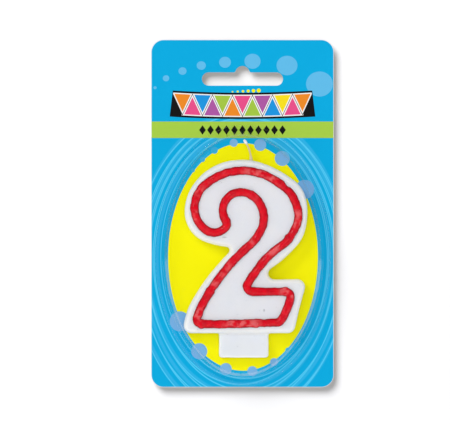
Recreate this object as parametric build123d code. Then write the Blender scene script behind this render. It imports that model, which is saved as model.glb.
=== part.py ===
from build123d import *
import math
import os

# A moulded wax numeral candle, sold on a printed hang card under a clear blister.
# Millimetres. The origin is the centre of the card's hang slot, on the card's back face.
# +Z is up, +X is to the right of a reader, and the printed face looks along -Y.

# Hang card
CARD_WIDTH = 73.0
CARD_HEIGHT = 139.0
CARD_THICK = 0.5
CARD_CORNER_R = 5.0
CARD_TOP = 15.7                # top edge, above the slot's centre

# Hang slot: a long slot with a half-round hump that a display hook centres in
SLOT_LENGTH = 32.4
SLOT_HEIGHT = 5.3
HUMP_R = 2.9
HUMP_RISE = 2.3                # hump centre above the slot's centre line
HUMP_BLEND_R = 0.9
CORNER_MATCH = 0.01            # how near a vertex has to be to the slot's upper edge to be on it

# Clear blister: an oval dome with a flange, over the oval on the print
FILM = 0.3
DOME_CENTRE = (0.2, -70.4)
DOME_HALF_WIDTH = 32.0
DOME_HALF_HEIGHT = 49.0
DOME_DEPTH = 12.0              # card face to the outside of the dome
DOME_DRAFT = 0.08              # inward lean of the wall, per unit of depth
DOME_EDGE_R = 3.0
FLANGE_WIDTH = 3.0

# Candle, drawn in its own (u, v): u to the right from the foot's middle, v up from its lower end
CANDLE_U0 = 0.5                # foot's middle, right of the slot's centre
CANDLE_V0 = -111.4             # foot's lower end, below the slot's centre
CARD_GAP = 0.2                 # between the card's face and the back of the candle
BODY_THICK = 9.0
FRONT_EDGE_R = 2.2
BACK_EDGE_R = 0.6

FOOT_WIDTH = 19.7
FOOT_THICK = 6.0
FOOT_CORNER_R = 1.2
FOOT_FRONT_R = 1.0
BASE_V = 9.8                   # underside of the numeral, where the foot begins
BAR_TOP_V = 31.3

# Right-hand end of the numeral's bar leans out as it rises
BAR_LOWER_RIGHT_U = 19.8
BAR_UPPER_RIGHT_U = 25.2
BAR_CORNER_R = 3.0
LOWER_LEFT_U = -24.6

# Open wedges at each side of the neck
RIGHT_NOTCH = (4.5, BAR_TOP_V)
RIGHT_NOTCH_R = 2.4
LEFT_NOTCH = (-3.8, 44.1)
LEFT_NOTCH_R = 1.5

# Neck, bowl, crown and lobe, anticlockwise from the right notch. Each point ends an arc
# that is tangent to the one before it.
BOWL_START = (12.2, 36.6)
BOWL_HEADING = 34.4            # degrees
BOWL_ARCS = [
    (21.1, 44.6), (24.5, 51.1), (24.8, 63.4), (20.1, 70.7), (13.0, 75.3),
    (0.9, 79.0), (-17.9, 71.9), (-23.5, 58.2), (-14.8, 46.0), (-7.9, 44.5),
]
# Back of the neck, down to the lower left corner
NECK_START = (-7.9, 39.9)
NECK_HEADING = 226.0
NECK_ARCS = [(-20.3, 23.5), (-23.8, 14.2)]

# Wick
WICK_R = 0.5
WICK_FIT = 0.02                # radial room round the wick in the wax
WICK_U = 2.9
WICK_FOOT_V = 55.0
WICK_BEND_V = 78.6
WICK_TIP = (0.1, 87.0)

# Piped red bead
BEAD_WIDTH = 3.4
BEAD_HEIGHT = 1.3
BEAD_START = (16.9, 67.2)
BEAD_HEADING = 134.0


class Turn:
    """A tight bend: how the bead goes round a corner of the numeral. Degrees, positive to the left."""

    def __init__(self, degrees, radius=2.0):
        self.degrees = degrees
        self.radius = radius


# The bead goes round the numeral anticlockwise in eight squeezes of the piping nozzle. Each
# begins where the last one ended. Each point ends an arc that is tangent to the one before it.
STROKES = {
    "outline_crown": [
        (6.9, 73.5), (-5.0, 74.2), (-15.9, 68.6), (-19.2, 56.8), (-15.1, 51.0), (-7.1, 52.4),
        Turn(69),
    ],
    "outline_crook": [(-8.4, 58.8), (-1.0, 66.1), (3.0, 65.0)],
    "outline_upper_diagonal": [(6.1, 62.1), (7.0, 51.2), (2.4, 45.0), (-13.4, 26.7)],
    "outline_lower_diagonal": [(-17.9, 18.2), (-18.7, 16.2), Turn(109)],
    "outline_base": [(-8.0, 13.5), (4.9, 13.9)],
    "outline_base_end": [(12.9, 14.1), Turn(60, 2.6), (18.3, 22.6), (18.6, 24.4), Turn(93)],
    "outline_waist": [(3.2, 26.5), Turn(-118), (7.0, 37.4), (15.1, 44.8), (17.9, 47.5)],
    "outline_right_bowl": [(20.5, 51.7), (21.5, 59.0), (17.3, 67.4)],
}

STRAIGHT = 0.2                 # degrees: a smaller bend than this is drawn as a line

CARD_CENTRE_Z = CARD_TOP - CARD_HEIGHT / 2
FORWARD = Vector(0, -1, 0)


def facing(y, x=0.0, z=0.0):
    """A plane parallel to the card that looks forward, with its origin at (x, y, z)."""
    return Plane(origin=(x, y, z), x_dir=(1, 0, 0), z_dir=FORWARD)


CARD_BACK = facing(0.0)
CARD_FACE = facing(-CARD_THICK)
CANDLE_BACK = facing(-CARD_THICK - CARD_GAP, CANDLE_U0, CANDLE_V0)
CANDLE_FACE = CANDLE_BACK.offset(BODY_THICK)


def direction(degrees):
    """The unit vector at this heading, anticlockwise from +u."""
    return Vector(math.cos(math.radians(degrees)), math.sin(math.radians(degrees)))


def tangent_arcs(start, heading, steps):
    """Edges from start, each tangent to the last: an arc to each point, and a bend for each Turn.

    Returns the edges, and the place and direction in which the last one ends.
    """
    edges = []
    for step in steps:
        if isinstance(step, Turn):
            edge = JernArc(start, heading, step.radius, step.degrees)
        elif heading.get_angle(Vector(*step) - Vector(*start)) < STRAIGHT:
            edge = Line(start, step)
        else:
            edge = TangentArc(start, step, tangent=heading)
        edges.append(edge)
        start = edge @ 1
        heading = edge % 1
    return edges, start, heading


def backing_card():
    """The die-cut board."""
    board = Pos(0, CARD_CENTRE_Z) * RectangleRounded(CARD_WIDTH, CARD_HEIGHT, CARD_CORNER_R)
    slot = SlotOverall(SLOT_LENGTH, SLOT_HEIGHT) + Pos(0, HUMP_RISE) * Circle(HUMP_R)
    # The hump meets the slot's upper edge at two inward corners.
    on_edge = [v for v in slot.vertices() if abs(v.Y - SLOT_HEIGHT / 2) < CORNER_MATCH]
    inward = [v for v in on_edge if abs(v.X) < HUMP_R]
    slot = fillet(inward, HUMP_BLEND_R)
    return extrude(CARD_BACK * (board - slot), CARD_THICK)


def oval(plane, grow):
    """The dome's oval, this much larger or smaller all round, on a plane parallel to the card."""
    return plane * Pos(*DOME_CENTRE) * Ellipse(DOME_HALF_WIDTH + grow, DOME_HALF_HEIGHT + grow)


def dome(inset):
    """A tapered, round-edged oval block: the outside of the dome, or with inset its inside."""
    depth = DOME_DEPTH - inset
    lean = DOME_DRAFT * depth
    block = loft([oval(CARD_FACE, -inset), oval(CARD_FACE.offset(depth), -inset - lean)])
    front = block.faces().sort_by(Axis.Y)[0]
    return fillet(front.edges(), DOME_EDGE_R - inset)


def clear_blister():
    """The thermoformed film: a hollow dome and the flange that is sealed to the card."""
    flange = extrude(oval(CARD_FACE, FLANGE_WIDTH), FILM)
    return flange + dome(0.0) - dome(FILM)


def numeral_outline():
    """The numeral's outline without its foot, with its sharp corners rounded."""
    upper, _, _ = tangent_arcs(BOWL_START, direction(BOWL_HEADING), BOWL_ARCS)
    lower, _, _ = tangent_arcs(NECK_START, direction(NECK_HEADING), NECK_ARCS)
    corners = [
        (LOWER_LEFT_U, BASE_V),
        (BAR_LOWER_RIGHT_U, BASE_V),
        (BAR_UPPER_RIGHT_U, BAR_TOP_V),
    ]
    left_notch = Polyline(BOWL_ARCS[-1], LEFT_NOTCH, NECK_START)
    bar = Polyline(NECK_ARCS[-1], *corners, RIGHT_NOTCH, BOWL_START)
    outline = make_face(upper + left_notch.edges() + lower + bar.edges())
    for points, radius in (
        (corners, BAR_CORNER_R),
        ([LEFT_NOTCH], LEFT_NOTCH_R),
        ([RIGHT_NOTCH], RIGHT_NOTCH_R),
    ):
        for point in points:
            corner = outline.vertices().sort_by_distance(Vector(*point))[0]
            outline = fillet(corner, radius)
    return outline


def wick_path():
    """The wick's centre line: straight through the wax, then leaning to the left."""
    depth = BODY_THICK / 2
    foot = (WICK_U, WICK_FOOT_V)
    bend = (WICK_U, WICK_BEND_V)
    path = Line(foot, bend) + TangentArc(bend, WICK_TIP, tangent=(0, 1))
    return CANDLE_BACK.offset(depth) * path


def wick_solid(radius):
    """A round cord of this radius along the wick's path."""
    path = wick_path()
    return sweep(Plane(origin=path @ 0, z_dir=path % 0) * Circle(radius), path=path)


def candle_body():
    """The numeral and its push-in foot, cast in one piece round the wick."""
    numeral = extrude(CANDLE_BACK * numeral_outline(), BODY_THICK)
    numeral = fillet(numeral.faces().sort_by(Axis.Y)[0].edges(), FRONT_EDGE_R)
    numeral = fillet(numeral.faces().sort_by(Axis.Y)[-1].edges(), BACK_EDGE_R)
    foot_height = BASE_V + BAR_CORNER_R
    foot = extrude(
        CANDLE_BACK * (Pos(0, foot_height / 2) * Rectangle(FOOT_WIDTH, foot_height)), FOOT_THICK
    )
    lower_corners = foot.edges().filter_by(Axis.Y).group_by(Axis.Z)[0]
    foot = fillet(lower_corners, FOOT_CORNER_R)
    foot = fillet(foot.faces().sort_by(Axis.Y)[0].edges(), FOOT_FRONT_R)
    return numeral + foot - wick_solid(WICK_R + WICK_FIT)


def bead(path):
    """One squeeze of red wax: a low round-topped bead along path, flat where it meets the candle."""
    across = FORWARD.cross(path % 0)
    section_plane = Plane(origin=path @ 0, x_dir=across, z_dir=path % 0)
    crest = section_plane.to_local_coords(path @ 0 + FORWARD * BEAD_HEIGHT)
    left = (-BEAD_WIDTH / 2, 0)
    right = (BEAD_WIDTH / 2, 0)
    section = make_face([ThreePointArc(left, (crest.X, crest.Y), right), Line(right, left)])
    return sweep(section_plane * section, path=path)


def bead_strokes():
    """Every squeeze of the red outline, by name."""
    start = BEAD_START
    heading = direction(BEAD_HEADING)
    strokes = {}
    for name, steps in STROKES.items():
        edges, start, heading = tangent_arcs(start, heading, steps)
        strokes[name] = bead(CANDLE_FACE * Wire(edges))
    return strokes


def main():
    parts = {
        "backing_card": backing_card(),
        "clear_blister": clear_blister(),
        "candle_body": candle_body(),
        "wick": wick_solid(WICK_R),
    }
    parts.update(bead_strokes())
    os.makedirs("parts", exist_ok=True)
    for name, shape in parts.items():
        export_step(shape, f"parts/{name}.step")
        print(name, round(shape.volume, 1))


main()
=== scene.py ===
import math

import bmesh
import bpy
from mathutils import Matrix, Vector, noise
from mathutils.kdtree import KDTree


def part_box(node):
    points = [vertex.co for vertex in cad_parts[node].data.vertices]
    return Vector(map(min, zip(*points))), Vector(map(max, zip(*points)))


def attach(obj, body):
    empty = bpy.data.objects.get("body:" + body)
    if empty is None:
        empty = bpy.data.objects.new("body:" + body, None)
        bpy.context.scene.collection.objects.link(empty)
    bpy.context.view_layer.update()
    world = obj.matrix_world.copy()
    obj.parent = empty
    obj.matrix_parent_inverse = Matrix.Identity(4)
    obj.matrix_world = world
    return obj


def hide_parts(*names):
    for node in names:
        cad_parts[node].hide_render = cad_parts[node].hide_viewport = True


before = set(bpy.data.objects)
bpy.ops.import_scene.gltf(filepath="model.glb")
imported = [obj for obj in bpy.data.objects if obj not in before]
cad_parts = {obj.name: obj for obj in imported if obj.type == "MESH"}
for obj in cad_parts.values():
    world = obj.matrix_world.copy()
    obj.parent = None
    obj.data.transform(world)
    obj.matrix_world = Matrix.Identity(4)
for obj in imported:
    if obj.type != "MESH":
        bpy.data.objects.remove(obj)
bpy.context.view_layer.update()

MM = 0.001
LIGHT_WHITE = (1.0, 1.0, 1.0, 1.0)


# ---------------------------------------------------------------- colours and node helpers

def srgb(r, g, b):
    """A display colour from 0 to 255 as the linear colour that shaders use."""
    linear = []
    for c in (r, g, b):
        c = c / 255
        linear.append(c / 12.92 if c <= 0.04045 else ((c + 0.055) / 1.055) ** 2.4)
    return (*linear, 1.0)


class Value:
    """A number that varies over a surface. Arithmetic on it adds Math nodes."""

    def __init__(self, tree, socket):
        self.tree = tree
        self.socket = socket

    def math(self, operation, *others, clamp=False):
        node = self.tree.nodes.new("ShaderNodeMath")
        node.operation = operation
        node.use_clamp = clamp
        for slot, item in zip(node.inputs, (self, *others)):
            if isinstance(item, Value):
                self.tree.links.new(item.socket, slot)
            else:
                slot.default_value = item
        return Value(self.tree, node.outputs[0])

    def __add__(self, other):
        return self.math("ADD", other)

    def __sub__(self, other):
        return self.math("SUBTRACT", other)

    def __mul__(self, other):
        return self.math("MULTIPLY", other)

    def __truediv__(self, other):
        return self.math("DIVIDE", other)

    def abs(self):
        return self.math("ABSOLUTE")

    def max(self, other):
        return self.math("MAXIMUM", other)

    def min(self, other):
        return self.math("MINIMUM", other)

    def inverse(self):
        """1 minus this."""
        return self.math("MULTIPLY_ADD", -1.0, 1.0)

    def below(self, limit, soft):
        """1 where this is under limit and 0 where it is over, with an edge this soft."""
        return self.math("MULTIPLY_ADD", -1.0 / soft, limit / soft + 0.5, clamp=True)


class Finish:
    """A material with a Principled shader, and helpers that add nodes in front of it."""

    def __init__(self, name):
        self.material = bpy.data.materials.new(name)
        self.material.use_nodes = True
        self.tree = self.material.node_tree
        self.shader = self.tree.nodes["Principled BSDF"]
        self.output = self.tree.nodes["Material Output"]
        self.coordinates = self.tree.nodes.new("ShaderNodeTexCoord")
        self.place = self.coordinates.outputs["Object"]

    def set(self, **settings):
        for name, value in settings.items():
            self.shader.inputs[name.replace("_", " ")].default_value = value

    def feed(self, name, item):
        self.tree.links.new(item.socket if isinstance(item, Value) else item, self.shader.inputs[name])

    def axes(self, socket, scale=1.0):
        """The three parts of a vector as Values."""
        node = self.tree.nodes.new("ShaderNodeSeparateXYZ")
        self.tree.links.new(socket, node.inputs[0])
        return [Value(self.tree, out) * scale for out in node.outputs]

    def noise(self, size_mm, detail=2.0, roughness=0.5, stretch=(1, 1, 1)):
        """Smooth noise from 0 to 1 with features about this size."""
        mapping = self.tree.nodes.new("ShaderNodeMapping")
        mapping.inputs["Scale"].default_value = stretch
        self.tree.links.new(self.place, mapping.inputs["Vector"])
        node = self.tree.nodes.new("ShaderNodeTexNoise")
        node.inputs["Scale"].default_value = 1 / (size_mm * MM)
        node.inputs["Detail"].default_value = detail
        node.inputs["Roughness"].default_value = roughness
        self.tree.links.new(mapping.outputs[0], node.inputs["Vector"])
        return Value(self.tree, node.outputs["Fac"])

    def speckle(self, size_mm):
        """Distance to the nearest of many scattered points, in units of their spacing."""
        node = self.tree.nodes.new("ShaderNodeTexVoronoi")
        node.inputs["Scale"].default_value = 1 / (size_mm * MM)
        self.tree.links.new(self.place, node.inputs["Vector"])
        return Value(self.tree, node.outputs["Distance"])

    def mix(self, factor, under, over):
        """under where factor is 0, over where it is 1. Each is a colour or a colour socket."""
        node = self.tree.nodes.new("ShaderNodeMix")
        node.data_type = "RGBA"
        self.tree.links.new(factor.socket, node.inputs[0])
        for slot, item in ((node.inputs[6], under), (node.inputs[7], over)):
            if isinstance(item, tuple):
                slot.default_value = item
            else:
                self.tree.links.new(item, slot)
        return node.outputs[2]

    def bump(self, height, depth_mm, strength=1.0):
        node = self.tree.nodes.new("ShaderNodeBump")
        node.inputs["Strength"].default_value = strength
        node.inputs["Distance"].default_value = depth_mm * MM
        self.tree.links.new(height.socket, node.inputs["Height"])
        self.tree.links.new(node.outputs[0], self.shader.inputs["Normal"])


# ---------------------------------------------------------------- the print on the card

INK_EDGE = 0.09                  # mm, how soft a printed edge is
CARD_LO, CARD_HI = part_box("backing_card")
CARD_MID = (CARD_LO + CARD_HI) / 2 / MM
CARD_HALF = (CARD_HI - CARD_LO) / 2 / MM

OVAL = (0.2, -71.2, 30.0, 45.5)  # centre x, z and half width, half height, mm
BAND = (-17.0, -23.6)            # green band, top and bottom
BAND_MARK_Z = -20.4              # the middle of the row of diamonds
MARK_PITCH = 3.2
MARK_COUNT = 11
MARK_HALF = (1.35, 1.9)          # a diamond's half width and half height, mm
CARD_CORNER = 5.0                # mm, the radius of the card's corners
INK_SHORT = 0.14                 # mm, that the ink stops short of the die-cut edge
RIM_OUT = 0.5                    # mm, that the rim dots' centres lie outside the oval

BLUE = srgb(0, 170, 224)
BLUE_DRIFT = srgb(4, 174, 228)   # what the blue drifts to where the ink lies thinner
GREEN = srgb(169, 208, 72)
YELLOW = srgb(251, 245, 0)
BUBBLE = srgb(98, 190, 236)
RIM_DOT = srgb(124, 182, 232)
SMALL_DOT = srgb(56, 176, 226)
SMALL = 1.5                      # mm, the radius up to which a rim dot prints in the stronger blue
THIN_LINE = srgb(82, 204, 246)
BROAD_LINE = srgb(66, 188, 240)
BLACK = srgb(20, 20, 22)
WHITE = srgb(250, 250, 250)

# Bubbles across the header, growing to the right: x, z, radius in mm
HEADER_BUBBLES = [
    (-35, -3.5, 0.6), (-30.6, 0.3, 1.2), (-24, 3.2, 1.5), (-16.5, 5.4, 1.7),
    (-7, 6.7, 2.2), (4, 7.1, 3.0), (17.8, 5.4, 3.9), (30.8, -2, 5.0),
]
BUBBLE_SQUASH = 1.07             # a bubble's width over its height
# Dots on the oval's rim: degrees round it, radius in mm
RIM_DOTS = [
    (36, 3.8), (59, 3.0), (77, 2.4), (97, 1.6), (112, 1.4), (122, 1.0), (131, 0.8), (140, 0.6),
    (214, 4.0), (235, 3.2), (257, 2.4), (277, 2.0), (294, 1.6), (306, 1.0),
]
# Lines that swirl round the oval: nested ovals that widen and drop away from it.
# Centre x, z, half width, half height and line width, mm
THIN_LINES = [(0.9 * (-1) ** k, -71.0 - 0.6 * k, 33.6 + 1.25 * k, 48.8 + 1.7 * k, 0.36) for k in range(8)]
BROAD_LINES = [(0.5 * (-1) ** k, -71.6 - 0.9 * k, 34.6 + 2.6 * k, 50.6 + 3.4 * k, 1.1) for k in range(4)]
THIN_SOFT = 0.15                 # mm, how soft a thin line's edge is
BROAD_SOFT = 0.5                 # mm, the same for a broad line
# The pennants' colours from left to right, in the row that hangs and the row that stands
PENNANTS = [
    srgb(240, 140, 40), srgb(30, 150, 225), srgb(165, 200, 70), srgb(235, 80, 140),
    srgb(175, 90, 165), srgb(250, 226, 30), srgb(240, 140, 40),
]
STANDING = [
    srgb(235, 80, 140), srgb(175, 90, 165), srgb(240, 140, 40), srgb(165, 200, 70),
    srgb(30, 150, 225), srgb(235, 80, 140),
]
PENNANT_PITCH = 8.0              # mm, like the lengths below
PENNANT_HALF = 3.5               # half a pennant's width
PENNANT_DROP = 7.4               # from its base to its point
PENNANT_TOP = -6.6               # the hanging row's bases, in the middle
PENNANT_SAG = 0.9                # that the rows hang lower in the middle than at the ends
PENNANT_GAP = 0.9                # from the points of one row to the bases of the other
PENNANT_RIM = 0.3                # of white round each pennant
PENNANT_INSET = 0.12             # that a pennant's colour stops short of its outline
RIBBON_MARGIN = 1.1              # of ribbon above and below the pennants
RIBBON_FLARE = 0.12              # sideways lean of the ribbon's ends, for each mm down
# Dots over the ribbon, growing to the right: x, z, half width, half height
RIBBON_DOTS = [
    (-4.0 + 2.1 * i, PENNANT_TOP + 1.5 + 0.1 * i, 0.3 + 0.1 * i, 0.3 + 0.1 * i) for i in range(6)
]


def oval_distance(x, z, oval):
    """How far a point is out from the middle of an oval, where 1 is on its rim."""
    cx, cz, half_width, half_height = oval
    across = (x - cx) / half_width
    up = (z - cz) / half_height
    return (across * across + up * up).math("SQRT")


def filled_oval(x, z, oval):
    """1 inside a printed oval and 0 outside it."""
    return ((oval_distance(x, z, oval) - 1.0) * min(oval[2:])).below(0, INK_EDGE)


def drawn_oval(x, z, oval, width, soft):
    """1 on a line this wide along an oval's rim."""
    return ((oval_distance(x, z, oval) - 1.0).abs() * oval[2]).below(width / 2, soft)


def union(shapes):
    """1 wherever any of these shapes is 1."""
    joined, *rest = shapes
    for shape in rest:
        joined = joined.max(shape)
    return joined


def card_print(f, x, z):
    """The colour of the printed face."""
    colour = f.mix(f.noise(22, 1.0), BLUE, BLUE_DRIFT)
    broad = union(drawn_oval(x, z, oval, width, BROAD_SOFT) for *oval, width in BROAD_LINES)
    thin = union(drawn_oval(x, z, oval, width, THIN_SOFT) for *oval, width in THIN_LINES)
    colour = f.mix(broad * 0.5, colour, BROAD_LINE)
    colour = f.mix(thin, colour, THIN_LINE)

    bubbles = union(
        filled_oval(x, z, (cx, cz, radius * BUBBLE_SQUASH, radius)) for cx, cz, radius in HEADER_BUBBLES
    )
    colour = f.mix(bubbles, colour, BUBBLE)

    colour = f.mix(filled_oval(x, z, OVAL), colour, YELLOW)
    for degrees, radius in RIM_DOTS:
        cx = OVAL[0] + (OVAL[2] + RIM_OUT) * math.cos(math.radians(degrees))
        cz = OVAL[1] + (OVAL[3] + RIM_OUT) * math.sin(math.radians(degrees))
        dot = filled_oval(x, z, (cx, cz, radius, radius))
        colour = f.mix(dot, colour, RIM_DOT if radius > SMALL else SMALL_DOT)

    band_mid, band_half = sum(BAND) / 2, (BAND[0] - BAND[1]) / 2
    band = ((z - band_mid).abs() - band_half).below(0, INK_EDGE)
    colour = f.mix(band, colour, GREEN)

    # A row of diamonds on the band
    half_width, half_height = MARK_HALF
    step = x.math("WRAP", MARK_PITCH / 2, -MARK_PITCH / 2)
    from_middle = step.abs() + (z - BAND_MARK_Z).abs() * (half_width / half_height)
    diamond = from_middle.below(half_width, INK_EDGE)
    diamond = diamond * x.abs().below(MARK_PITCH * MARK_COUNT / 2, INK_EDGE)
    colour = f.mix(diamond, colour, BLACK)

    return bunting(f, x, z, colour)


def flags(f, x, depth, colours):
    """A centred row of pennants: how far a point is outside the nearest one, and that one's colour."""
    reach = PENNANT_PITCH * len(colours) / 2
    phase = 0.0 if len(colours) % 2 else PENNANT_PITCH / 2
    step = (x - phase).math("WRAP", PENNANT_PITCH / 2, -PENNANT_PITCH / 2)
    slant = math.hypot(PENNANT_HALF, PENNANT_DROP)
    side = (step.abs() - PENNANT_HALF) * (PENNANT_DROP / slant) + depth * (PENNANT_HALF / slant)
    outside = side.max(depth * -1.0).max(x.abs() - reach)
    ramp = f.tree.nodes.new("ShaderNodeValToRGB")
    ramp.color_ramp.interpolation = "CONSTANT"
    stops = ramp.color_ramp.elements
    stops.remove(stops[-1])
    for i, shade in enumerate(colours):
        stop = stops[0] if i == 0 else stops.new(i / len(colours))
        stop.color = shade
    f.tree.links.new(((x + reach) / (2 * reach)).socket, ramp.inputs[0])
    return outside, ramp.outputs[0]


def bunting(f, x, z, colour):
    """Two rows of pennants, point to point, on a dark ribbon that sags in the middle."""
    reach = PENNANT_PITCH * len(PENNANTS) / 2
    rows = PENNANT_DROP + PENNANT_GAP
    down = (z - x * x * (PENNANT_SAG / reach ** 2) - PENNANT_TOP) * -1.0
    up = down * -1.0 + rows
    hanging, hanging_colours = flags(f, x, down, PENNANTS)
    standing, standing_colours = flags(f, x, up, STANDING)
    ends = (x.abs() - down * RIBBON_FLARE) - reach
    ribbon = ends.max((down - rows / 2).abs() - rows / 2 - RIBBON_MARGIN)
    colour = f.mix(ribbon.below(0.0, INK_EDGE), colour, BLACK)
    rim = hanging.min(standing).below(PENNANT_RIM, INK_EDGE)
    colour = f.mix(rim * ribbon.below(-PENNANT_RIM, INK_EDGE), colour, WHITE)
    colour = f.mix(hanging.below(-PENNANT_INSET, INK_EDGE), colour, hanging_colours)
    colour = f.mix(standing.below(-PENNANT_INSET, INK_EDGE), colour, standing_colours)
    return f.mix(union(filled_oval(x, z, dot) for dot in RIBBON_DOTS), colour, YELLOW)


def card_material():
    """Printed and varnished on the front, bare recycled board on the back, its pale core at the edges."""
    f = Finish("printed_board")
    x, _, z = f.axes(f.place, 1 / MM)
    _, facing, _ = f.axes(f.coordinates.outputs["Normal"])
    front = facing.below(-0.5, 0.2)
    back = facing.below(0.5, 0.2).inverse()
    # The ink stops just short of the die-cut edge, where the board's core shows.
    across = ((x - CARD_MID.x).abs() - (CARD_HALF.x - CARD_CORNER)).max(0.0)
    up = ((z - CARD_MID.z).abs() - (CARD_HALF.z - CARD_CORNER)).max(0.0)
    from_edge = (across * across + up * up).math("SQRT") - CARD_CORNER
    inked = from_edge.below(-INK_SHORT, 0.12)
    fibres = f.noise(0.9, 4.0, 0.65, (1, 1, 3))
    core = f.mix(fibres, srgb(228, 227, 222), srgb(248, 248, 245))
    pulp = f.mix(fibres, srgb(170, 163, 149), srgb(224, 219, 207))
    flecks = f.speckle(2.6).below(0.09, 0.05) * f.noise(7, 1.0).math("MULTIPLY_ADD", 4.0, -1.6, clamp=True)
    pulp = f.mix(flecks * 0.85, pulp, srgb(112, 106, 100))
    board = f.mix(back, core, pulp)
    f.feed("Base Color", f.mix(front * inked, board, card_print(f, x, z)))
    f.feed("Roughness", front * -0.36 + 0.78)
    f.bump(f.noise(0.4, 3.0) * (front * -0.75 + 1.0), 0.02, 0.6)
    f.set(Specular_IOR_Level=0.08)
    return f.material


# ---------------------------------------------------------------- the other finishes

WAX_COOL = srgb(232, 237, 245)
WAX_WARM = srgb(240, 242, 246)
# The lighter white on the wax's edges and sides is a painted glow of light through the wax.
WAX_PAINTED_GLOW = srgb(253, 253, 254)
# Pits on the face, painted darker as shade in them: centre x, z, half width, half height, mm
WAX_MARKS = [(8.6, -92.4, 0.45, 0.6), (-7.2, -63.3, 1.0, 0.3)]
BODY_LO, BODY_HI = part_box("candle_body")
# Where pale painted highlights lie on the red wax: centre x, z and reach, mm
PAINTED_HIGHLIGHT_SPOTS = [
    (8, -37.6, 9), (-11.4, -82.8, 3), (-17.4, -94, 3), (0, -97.6, 8),
    (18.5, -84.4, 4.5), (21.8, -56, 4), (-19.6, -55, 3), (12, -68, 3),
]


def wax_material():
    """White candle wax: translucent, softly polished, with casting marks; painted glow makes its edges
    lighter and painted shade makes its pits darker.
    """
    f = Finish("white_wax")
    cloud = f.noise(9, 2.0)
    f.feed("Roughness", f.noise(2.5, 3.0) * 0.2 + 0.3)
    pits = f.speckle(3.4).below(0.05, 0.06)
    x, y, z = f.axes(f.place, 1 / MM)
    for cx, cz, half_width, half_height in WAX_MARKS:
        mark = oval_distance(x, z, (cx, cz, half_width, half_height)).below(0.9, 0.6)
        pits = pits.max(mark * y.below(BODY_LO.y / MM + 1.0, 0.2))
    _, facing, _ = f.axes(f.coordinates.outputs["Normal"])
    # Painted glow: faces turned away from the front are painted lighter, as if light glowed through the
    # wax's edges.
    rim = facing.below(-0.93, 0.12).inverse()
    wax = f.mix(rim, f.mix(cloud, WAX_COOL, WAX_WARM), WAX_PAINTED_GLOW)
    # Painted shade: the pits and marks are painted darker grey, as shade in the hollows.
    f.feed("Base Color", f.mix(pits * 0.45, wax, srgb(150, 150, 160)))
    height = f.noise(1.4, 3.0, 0.55) * 0.5 - pits
    f.bump(height, 0.09, 0.7)
    f.set(Subsurface_Weight=0.6, Subsurface_Radius=(1.0, 0.95, 0.85), Subsurface_Scale=2.4 * MM)
    f.set(Coat_Weight=0.12, Coat_Roughness=0.35)
    return f.material


BEAD_SHADE_REACH = 0.85                 # mm above the candle's face, under which a bead is painted darker: painted shade along its foot
BEAD_CREST = 0.95                # mm above it, over which a bead gets painted highlights


def bead_material():
    """Piped red wax: glossy, with painted shade darkening its foot and pale painted highlights in patches
    along its crest.
    """
    f = Finish("red_wax")
    x, y, z = f.axes(f.place, 1 / MM)
    height = y * -1.0 + BODY_LO.y / MM
    # Painted shade: the bead is painted darker low on its flanks, where it meets the wax face.
    foot = height.below(BEAD_SHADE_REACH, 0.5)
    crest = height.below(BEAD_CREST, 0.3).inverse()
    mottle = f.noise(1.7, 3.0, 0.6).math("MULTIPLY_ADD", 2.4, -0.7, clamp=True)
    red = f.mix(mottle, srgb(206, 4, 28), srgb(240, 10, 36))
    highlight_patches = f.noise(11, 1.0).math("MULTIPLY_ADD", 7.0, -4.2, clamp=True)
    for cx, cz, reach in PAINTED_HIGHLIGHT_SPOTS:
        highlight_patches = highlight_patches.max(oval_distance(x, z, (cx, cz, reach, reach)).below(0.8, 0.5))
    # Painted highlight: pale pink patches on the bead's crest, where light glints off it.
    painted_highlight = f.noise(2.3, 1.0).math("MULTIPLY_ADD", 5.0, -2.0, clamp=True) * crest * highlight_patches
    red = f.mix(painted_highlight * 0.4, red, srgb(250, 150, 152))
    # Painted shade: dark maroon at the bead's foot.
    f.feed("Base Color", f.mix(foot * 0.7, red, srgb(116, 2, 20)))
    f.feed("Roughness", f.noise(1.2, 2.0) * 0.14 + 0.12)
    f.bump(f.noise(0.6, 2.0, 0.6), 0.05, 0.5)
    f.set(Subsurface_Weight=0.1, Subsurface_Radius=(1.0, 0.1, 0.08), Subsurface_Scale=0.7 * MM)
    f.set(Coat_Weight=0.3, Coat_Roughness=0.07, Specular_IOR_Level=0.08)
    return f.material


WAXED_LENGTH = 1.9               # mm of white wax on the wick's tip


def wick_material():
    """Cotton strands, waxed white towards the tip."""
    f = Finish("wick_cotton")
    _, _, z = f.axes(f.place, 1 / MM)
    _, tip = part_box("wick")
    waxed = (z * -1.0 + tip.z / MM).below(WAXED_LENGTH, 0.8)
    strand = f.noise(0.16, 2.0, 0.5, (1, 1, 0.3))
    cotton = f.mix(strand, srgb(214, 196, 150), srgb(240, 228, 190))
    f.feed("Base Color", f.mix(waxed, cotton, srgb(250, 250, 250)))
    f.feed("Roughness", waxed * -0.4 + 0.82)
    f.bump(strand, 0.05, 0.8)
    return f.material


FILM_IOR = 1.36                  # under real film's, so that its shine stays faint
FILM_GLOSS = 0.09                # roughness of what it mirrors
GLANCE_FROM = 0.022              # the mirrored share that is taken off, so that it's clear square on
GLANCE_MOST = 0.18               # the most that it mirrors


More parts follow.
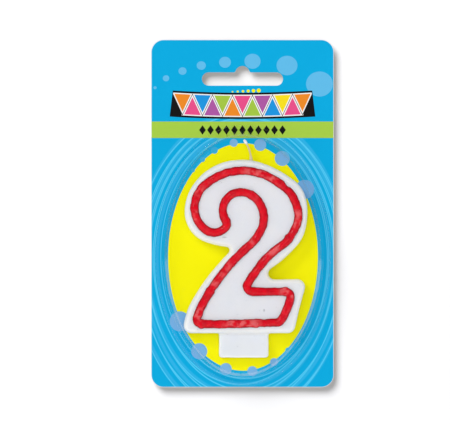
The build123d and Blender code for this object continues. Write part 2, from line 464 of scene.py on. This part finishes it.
def film_material():
    """Thin clear film: what is behind shows through, and slanting light glances off it."""
    f = Finish("clear_film")
    nodes, links = f.tree.nodes, f.tree.links
    clear = nodes.new("ShaderNodeBsdfTransparent")
    clear.inputs["Color"].default_value = LIGHT_WHITE
    gloss = nodes.new("ShaderNodeBsdfGlossy")
    gloss.inputs["Color"].default_value = LIGHT_WHITE
    gloss.inputs["Roughness"].default_value = FILM_GLOSS
    glance = nodes.new("ShaderNodeFresnel")
    glance.inputs["IOR"].default_value = FILM_IOR
    ripple = nodes.new("ShaderNodeBump")
    ripple.inputs["Strength"].default_value = 0.15
    ripple.inputs["Distance"].default_value = 0.05 * MM
    links.new(f.noise(6, 1.0).socket, ripple.inputs["Height"])
    links.new(ripple.outputs[0], gloss.inputs["Normal"])
    mix = nodes.new("ShaderNodeMixShader")
    shine = (Value(f.tree, glance.outputs[0]) - GLANCE_FROM).max(0.0).min(GLANCE_MOST)
    links.new(shine.socket, mix.inputs[0])
    links.new(clear.outputs[0], mix.inputs[1])
    links.new(gloss.outputs[0], mix.inputs[2])
    links.new(mix.outputs[0], f.output.inputs["Surface"])
    nodes.remove(f.shader)
    return f.material


# ---------------------------------------------------------------- mesh helpers

def add_object(name, mesh, material, body, slot, *nodes):
    """Puts a finished mesh in the scene as a piece that stands for these CAD nodes."""
    obj = bpy.data.objects.new(name, mesh)
    bpy.context.scene.collection.objects.link(obj)
    mesh.materials.clear()
    mesh.materials.append(material)
    mesh.shade_smooth()
    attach(obj, body)
    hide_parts(*nodes)
    return obj


def remeshed(mesh, voxel, smooth):
    """The mesh rebuilt from even voxels, then smoothed this many times."""
    obj = bpy.data.objects.new("work", mesh)
    bpy.context.scene.collection.objects.link(obj)
    remesh = obj.modifiers.new("remesh", "REMESH")
    remesh.mode = "VOXEL"
    remesh.voxel_size = voxel
    soften = obj.modifiers.new("soften", "SMOOTH")
    soften.factor = 0.5
    soften.iterations = smooth
    bpy.context.view_layer.update()
    made = bpy.data.meshes.new_from_object(obj.evaluated_get(bpy.context.evaluated_depsgraph_get()))
    bpy.data.objects.remove(obj)
    return made


def lumps(point, size, seed):
    """Smooth noise from -1 to 1 at a point, with lumps about this size."""
    return noise.noise(point / size + Vector((seed * 7.3, seed * 3.1, seed * 5.7)))


def skin(work, rings):
    """Joins rings of vertices, one to the next, and closes the last."""
    for a, b in zip(rings, rings[1:]):
        for n in range(len(a)):
            m = (n + 1) % len(a)
            work.faces.new((a[n], a[m], b[m], b[n]))
    work.faces.new(rings[-1])


def made_mesh(work, name):
    """The finished mesh, with its faces all turned outwards."""
    bmesh.ops.recalc_face_normals(work, faces=work.faces[:])
    mesh = bpy.data.meshes.new(name)
    work.to_mesh(mesh)
    work.free()
    return mesh


# ---------------------------------------------------------------- the candle

WAX_VOXEL = 0.36 * MM
WAX_SMOOTHING = 9
WAX_WAVES = [(0.16, 9), (0.06, 3)]  # the casting's unevenness: height and size, mm
BACK_LET_IN = 0.1                # mm, so that the back's waves stay clear of the card
BEAD_VOXEL = 0.17 * MM
BEAD_SMOOTHING = 22
SWELL = 0.14                     # mm, what smoothing takes off a bead
UNEVEN = [(0.12, 4.2), (0.2, 1.9), (0.07, 0.8)]  # a bead's lumps: height and size, mm
# Where the nozzle faltered and the bead is pinched: centre x, z, reach and depth, mm
PINCHES = [(18.6, -42.6, 1.5, 0.45), (16.0, -45.6, 1.2, 0.3), (9.5, -96.0, 1.6, 0.25)]
BEAD_SEED = 3                    # the first stroke's; each later stroke's is one more
BLOB_RADIUS = 1.85 * MM
BLOB_HEIGHT = 1.42 * MM
FOOT_ZONE = 0.15 * MM            # what is nearer the face than this is a bead's foot
FOOT_SUNK = 0.35 * MM            # that a bead's foot goes into the face, so that no gap shows


def wax_body():
    """The cast numeral, with the slight unevenness of wax."""
    mesh = remeshed(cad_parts["candle_body"].data.copy(), WAX_VOXEL, WAX_SMOOTHING)
    normals = [v.normal.copy() for v in mesh.vertices]
    for v, normal in zip(mesh.vertices, normals):
        lift = sum(height * lumps(v.co, size * MM, seed) for seed, (height, size) in enumerate(WAX_WAVES, 1))
        if normal.y > 0.9:
            lift -= BACK_LET_IN
        v.co += normal * (lift * MM)
    add_object("wax_numeral", mesh, wax_material(), "candle", "white_wax", "candle_body")


# The red strokes, in the order that they join round the outline
STROKES = [
    "outline_crown", "outline_crook", "outline_upper_diagonal", "outline_lower_diagonal",
    "outline_base", "outline_base_end", "outline_waist", "outline_right_bowl",
]


def shared_end(first, second):
    """The middle of the end that two neighbouring strokes share."""
    tree = KDTree(len(second.vertices))
    for i, v in enumerate(second.vertices):
        tree.insert(v.co, i)
    tree.balance()
    gaps = [(tree.find(v.co)[2], v.co) for v in first.vertices]
    nearest = min(gap for gap, _ in gaps)
    shared = [place for gap, place in gaps if gap < nearest + 0.02 * MM]
    return sum(shared, Vector()) / len(shared)


def add_blob(target, centre, radius, height):
    """Adds a low round blob of wax, where the nozzle stopped and started."""
    blob = bmesh.ops.create_uvsphere(target, u_segments=24, v_segments=16, radius=1.0)
    for v in blob["verts"]:
        v.co = centre + Vector((v.co.x * radius, v.co.y * height, v.co.z * radius))


def bead_lift(place, seed):
    """How far a bead's surface stands out at a point, mm."""
    lift = SWELL
    for k, (swing, size) in enumerate(UNEVEN):
        lift += swing * lumps(place, size * MM, seed + k)
    for x, z, reach, depth in PINCHES:
        away = math.hypot(place.x / MM - x, place.z / MM - z) / reach
        lift -= depth * math.exp(-away * away)
    return lift


def piped_bead():
    """The red outline: each squeeze of wax swells and thins, and ends in a blob."""
    material = bead_material()
    meshes = [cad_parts[name].data for name in STROKES]
    ends = [shared_end(a, b) for a, b in zip(meshes, meshes[1:] + meshes[:1])]
    face = BODY_LO.y
    for i, name in enumerate(STROKES):
        work = bmesh.new()
        work.from_mesh(meshes[i])
        add_blob(work, Vector((ends[i].x, face, ends[i].z)), BLOB_RADIUS, BLOB_HEIGHT)
        joined = bpy.data.meshes.new("joined")
        work.to_mesh(joined)
        work.free()
        mesh = remeshed(joined, BEAD_VOXEL, BEAD_SMOOTHING)
        normals = [v.normal.copy() for v in mesh.vertices]
        for v, normal in zip(mesh.vertices, normals):
            v.co += normal * (bead_lift(v.co, BEAD_SEED + i) * MM)
            if v.co.y > face - FOOT_ZONE:
                v.co.y = max(v.co.y, face + FOOT_SUNK)
        add_object("bead_" + name.removeprefix("outline_"), mesh, material, "candle", "red_wax", name)


WICK_STEPS = 150
WICK_BURIED = 0.3                # share of the wick's run that is in the wax
WICK_BEND_DEPTH = 0.4 * MM       # under the top of the candle, where the free end starts to lean
WICK_UPRIGHT = 0.52              # where the free end's curve has its control point, as a share of its rise
STRANDS = 3
STRAND_SIDES = 10
STRAND_TWIST = 46                # radians from foot to tip
STRAND_OFF = 0.36                # a strand's distance off the centre line, in wick radii
STRAND_RADIUS = 0.42             # in wick radii
TURNED_STEPS = 24
TURNED_SIDES = 20


def collar(s):
    """The wax collar's radius in wick radii: wide on the candle, thinner up the wick."""
    return 1.9 - s ** 0.5


def waxed_tip(s):
    """The waxed tip's radius in wick radii: a swelling that narrows at the end."""
    return 0.74 + 0.5 * math.sin(math.pi * s * 0.9) ** 0.8 - 0.5 * s ** 6


# The turned pieces of wax: where each starts and stops along the wick, and its profile
TURNED = [(0.285, 0.46, collar), (0.84, 1.0, waxed_tip)]


def crossways(centre, t):
    """Two directions square to a centre line at t."""
    along = (centre(min(t + 0.01, 1)) - centre(max(t - 0.01, 0))).normalized()
    out = along.cross(Vector((0, 1, 0))).normalized()
    return out, along.cross(out)


def round_tube(work, sections, sides):
    """A closed tube through these sections: middle, two directions across it, and radius."""
    rings = []
    for middle, out, side, width in sections:
        rings.append([
            work.verts.new(middle + (out * math.cos(a) + side * math.sin(a)) * width)
            for a in (math.tau * n / sides for n in range(sides))
        ])
    work.faces.new(rings[0][::-1])
    skin(work, rings)


def wick():
    """Three twisted strands, with wax on the tip and a collar of wax where they leave the candle."""
    lo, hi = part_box("wick")
    radius = (hi.y - lo.y) / 2
    depth = (hi.y + lo.y) / 2
    foot = Vector((hi.x - radius, depth, lo.z))
    bend = Vector((hi.x - radius, depth, BODY_HI.z - WICK_BEND_DEPTH))
    tip = Vector((lo.x + radius * 0.7, depth, hi.z - radius * 0.4))
    control = bend + Vector((0, 0, (tip.z - bend.z) * WICK_UPRIGHT))

    def centre(t):
        """The centre line: the buried part, and then the free part, to 1."""
        if t < WICK_BURIED:
            return foot.lerp(bend, t / WICK_BURIED)
        s = (t - WICK_BURIED) / (1 - WICK_BURIED)
        return bend * (1 - s) ** 2 + control * (2 * s * (1 - s)) + tip * s ** 2

    work = bmesh.new()
    for strand in range(STRANDS):
        sections = []
        for k in range(WICK_STEPS + 1):
            t = k / WICK_STEPS
            out, side = crossways(centre, t)
            turn = t * STRAND_TWIST + strand * math.tau / STRANDS
            middle = centre(t) + (out * math.cos(turn) + side * math.sin(turn)) * radius * STRAND_OFF
            fill = 0.98 - 0.35 * max(0, (t - 0.97) / 0.03)  # thins at the very tip
            sections.append((middle, out, side, radius * STRAND_RADIUS * fill))
        round_tube(work, sections, STRAND_SIDES)
    for start, stop, profile in TURNED:
        sections = []
        for k in range(TURNED_STEPS + 1):
            s = k / TURNED_STEPS
            t = start + (stop - start) * s
            sections.append((centre(t), *crossways(centre, t), radius * profile(s)))
        round_tube(work, sections, TURNED_SIDES)
    add_object("wick_cord", made_mesh(work, "wick_cord"), wick_material(), "candle", "wick_cotton", "wick")


# ---------------------------------------------------------------- the blister

FILM = 0.3 * MM
FILM_SHOWN = 0.24 * MM           # a little under the film's thickness, so that it rests clear of the card
FLANGE = 3.0 * MM
FLANGE_ROW = 0.9 * MM            # rows of points this far in from the flange's edges keep it flat
ROOT_R = 0.7 * MM                # radius where the wall leaves the flange
EDGE_R = 3.0 * MM                # radius where the wall meets the front
LEAN = 0.08                      # how far the wall leans in, for each mm out
ROOT_STEPS, WALL_STEPS, EDGE_STEPS = 6, 8, 12
ROUND_STEPS = 192
FRONT_RINGS = [0.9 - 0.11 * k for k in range(9)]  # rings that fill the front, as shares of its size


def film_profile(depth):
    """Half a section of the film, from its edge to its front: how far past the edge, and how far out."""
    mid = FILM / 2
    top = depth - mid
    profile = [(0.0, mid), (-FLANGE_ROW, mid), (FLANGE_ROW - FLANGE, mid)]
    for k in range(ROOT_STEPS + 1):
        a = math.radians(90 * k / ROOT_STEPS)
        profile.append((ROOT_R - FLANGE - ROOT_R * math.sin(a), mid + ROOT_R - ROOT_R * math.cos(a)))
    foot = mid + ROOT_R
    for k in range(1, WALL_STEPS + 1):
        y = foot + (top - EDGE_R - foot) * k / WALL_STEPS
        profile.append((-FLANGE - LEAN * y, y))
    wall_x = profile[-1][0]
    for k in range(1, EDGE_STEPS + 1):
        a = math.radians(90 * k / EDGE_STEPS)
        profile.append((wall_x - EDGE_R * (1 - math.cos(a)), top - EDGE_R + EDGE_R * math.sin(a)))
    return profile


def blister():
    """The thermoformed film: flange, leaning wall, round shoulder and a flat front."""
    lo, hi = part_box("clear_blister")
    middle = (lo + hi) / 2
    half = (hi - lo) / 2
    work = bmesh.new()

    def ring(grow, out, share=1.0):
        """An oval ring of points, this far past the edge and out from the card, then shrunk to a share."""
        return [
            work.verts.new((
                middle.x + (half.x + grow) * share * math.cos(a),
                hi.y - out,
                middle.z + (half.z + grow) * share * math.sin(a),
            ))
            for a in (math.tau * n / ROUND_STEPS for n in range(ROUND_STEPS))
        ]

    profile = film_profile(hi.y - lo.y)
    rings = [ring(grow, out) for grow, out in profile]
    rings += [ring(*profile[-1], share) for share in FRONT_RINGS]
    skin(work, rings)
    mesh = made_mesh(work, "blister_film")
    film = add_object("blister_film", mesh, film_material(), "blister", "clear_film", "clear_blister")
    wall = film.modifiers.new("wall", "SOLIDIFY")
    wall.thickness = FILM_SHOWN
    wall.offset = 0.0


# ---------------------------------------------------------------- floor, backdrop, light, camera

FLOOR_DROP = 30 * MM             # under the card
FLOOR_REACH = 3.0                # m, each way from the middle
WALL_GAP = 3.2 * MM              # behind the card, which sets how far its shadow shows
WALL_REACH = 1.0                 # m, to each side and up
ROOM_LIGHT = 0.46                # strength of the even light from all round
ROOM_MIRRORED = 0.16             # what shiny surfaces mirror: a dimmer room, as between a studio's lamps
ROOM_SEEN = 0.86                 # what the camera sees past the stage
VIEW_X, VIEW_Z = -7 * MM, -54.8 * MM  # the middle of the view
VIEW_AWAY = 3.0                  # m, from the card's front to the camera
LENS = 600                       # mm, a long one for a flat view


def plane(name, corners, material):
    """A four-cornered surface that is part of the stage and not of the object."""
    mesh = bpy.data.meshes.new(name)
    mesh.from_pydata(corners, [], [(0, 1, 2, 3)])
    mesh.materials.append(material)
    obj = bpy.data.objects.new(name, mesh)
    bpy.context.scene.collection.objects.link(obj)
    return obj


def stage_material(name, colour, glow):
    """A matt surface that shows only from its front, so that it never hides the object."""
    f = Finish(name)
    f.feed("Base Color", f.mix(f.noise(60, 2.0), colour, tuple(min(1.0, c * 1.01) for c in colour)))
    f.set(Roughness=0.9, Specular_IOR_Level=0.1, Emission_Color=LIGHT_WHITE, Emission_Strength=glow)
    behind = f.tree.nodes.new("ShaderNodeBsdfTransparent")
    geometry = f.tree.nodes.new("ShaderNodeNewGeometry")
    mix = f.tree.nodes.new("ShaderNodeMixShader")
    f.tree.links.new(geometry.outputs["Backfacing"], mix.inputs[0])
    f.tree.links.new(f.shader.outputs[0], mix.inputs[1])
    f.tree.links.new(behind.outputs[0], mix.inputs[2])
    f.tree.links.new(mix.outputs[0], f.output.inputs["Surface"])
    return f.material


def stage():
    """A pale floor, and a white wall just behind the card."""
    floor_z = CARD_LO.z - FLOOR_DROP
    pale = stage_material("pale_floor", srgb(244, 244, 244), 0.22)
    r = FLOOR_REACH
    plane("floor", [(x, y, floor_z) for x, y in ((-r, -r), (r, -r), (r, r), (-r, r))], pale)

    white = stage_material("white_wall", srgb(204, 204, 206), 0.0)
    back = CARD_HI.y + WALL_GAP
    r = WALL_REACH
    wall = plane("wall", [(x, back, z) for x, z in ((-r, floor_z), (r, floor_z), (r, r), (-r, r))], white)
    wall.visible_diffuse = False
    wall.visible_glossy = False
    wall.visible_transmission = False
    wall.visible_shadow = False
    return wall


def light(name, place, target, size, power, only=None, without=None, glossy=True):
    """A round soft light. It reaches everything, or just one object, or all but one."""
    data = bpy.data.lights.new(name, "AREA")
    data.shape = "DISK"
    data.size = size
    data.energy = power
    obj = bpy.data.objects.new(name, data)
    obj.location = place
    obj.rotation_euler = (Vector(target) - Vector(place)).to_track_quat("-Z", "Y").to_euler()
    obj.visible_glossy = glossy
    bpy.context.scene.collection.objects.link(obj)
    if only or without:
        group = bpy.data.collections.new(name + "_reach")
        group.objects.link(only or without)
        if without:
            group.collection_objects[0].light_linking.link_state = "EXCLUDE"
        obj.light_linking.receiver_collection = group


def studio(wall):
    """Even light from all round, a broad front fill, soft lights from the upper left and one behind."""
    world = bpy.data.worlds.new("studio")
    bpy.context.scene.world = world
    world.use_nodes = True
    nodes, links = world.node_tree.nodes, world.node_tree.links
    shown = nodes["Background"]
    mirrored = nodes.new("ShaderNodeBackground")
    seen = nodes.new("ShaderNodeBackground")
    for node, strength in ((shown, ROOM_LIGHT), (mirrored, ROOM_MIRRORED), (seen, ROOM_SEEN)):
        node.inputs["Color"].default_value = LIGHT_WHITE
        node.inputs["Strength"].default_value = strength
    path = nodes.new("ShaderNodeLightPath")
    for ray, node in (("Is Glossy Ray", mirrored), ("Is Camera Ray", seen)):
        mix = nodes.new("ShaderNodeMixShader")
        links.new(path.outputs[ray], mix.inputs[0])
        links.new(shown.outputs[0], mix.inputs[1])
        links.new(node.outputs[0], mix.inputs[2])
        shown = mix
    links.new(shown.outputs[0], nodes["World Output"].inputs["Surface"])
    middle = CARD_MID * MM
    light("key", (-0.8, -1.4, 0.8), middle, size=0.4, power=6.2, without=wall)
    light("fill", (-0.1, -2.2, 0.1), middle, size=1.2, power=13.2, without=wall, glossy=False)
    light("wall_key", (-1.8, -3.4, 2.5), middle, size=3.2, power=350, only=wall)
    light("back", (0.6, 1.4, 0.8), middle, size=1.0, power=8)


def camera():
    """Level and square to the card, from far off."""
    data = bpy.data.cameras.new("camera")
    data.lens = LENS
    data.clip_end = 20
    obj = bpy.data.objects.new("camera", data)
    obj.location = (VIEW_X, CARD_LO.y - VIEW_AWAY, VIEW_Z)
    obj.rotation_euler = (math.radians(90), 0, 0)
    bpy.context.scene.collection.objects.link(obj)
    bpy.context.scene.camera = obj


def printed_card():
    """The card keeps its own mesh, and is printed."""
    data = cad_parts["backing_card"].data
    data.materials.clear()
    data.materials.append(card_material())


bpy.context.scene.view_settings.view_transform = "Standard"
printed_card()
wax_body()
piped_bead()
wick()
blister()
studio(stage())
camera()
